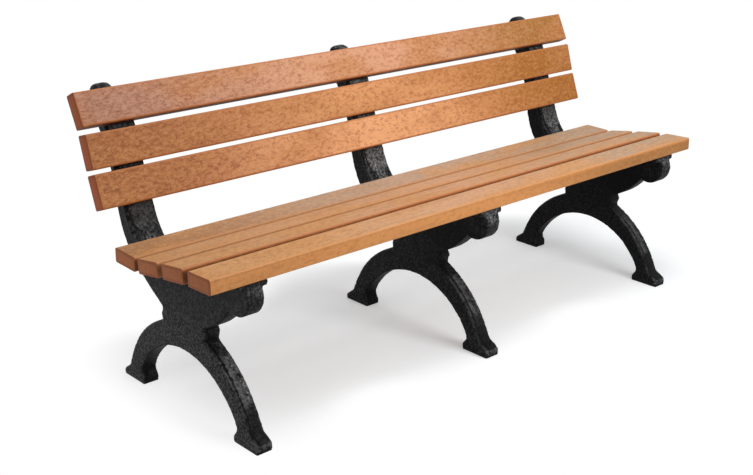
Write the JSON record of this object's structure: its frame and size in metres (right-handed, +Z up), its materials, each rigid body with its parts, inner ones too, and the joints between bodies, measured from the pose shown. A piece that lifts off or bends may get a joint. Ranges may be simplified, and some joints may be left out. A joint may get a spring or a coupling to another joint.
{
  "type": "park bench",
  "caption": "Slatted park bench with a backrest: thick plastic-lumber boards screwed to scrolled, arch-legged moulded frames.",
  "frame": {"origin": "on the ground, under the middle of the bench's bounding box", "axes": "+X along the bench, to the sitter's left; +Y from front to back; +Z up"},
  "size_m": [1.829, 0.6804, 0.7909],
  "materials": {
    "frame_plastic": "pebbled, slight sheen",
    "board_plastic": "fine mottled wood-fibre texture",
    "screw_steel": "plain"
  },
  "bodies": {
    "root": {"frame_left": "frame_plastic", "frame_centre": "frame_plastic", "frame_right": "frame_plastic", "seat_slat_front": "board_plastic", "seat_slat_front_middle": "board_plastic", "seat_slat_rear_middle": "board_plastic", "seat_slat_rear": "board_plastic", "back_slat_bottom": "board_plastic", "back_slat_middle": "board_plastic", "back_slat_top": "board_plastic", "seat_screws_left": "screw_steel", "seat_screws_centre": "screw_steel", "seat_screws_right": "screw_steel", "back_screws_left": "screw_steel", "back_screws_centre": "screw_steel", "back_screws_right": "screw_steel"}
  },
  "joints": []
}
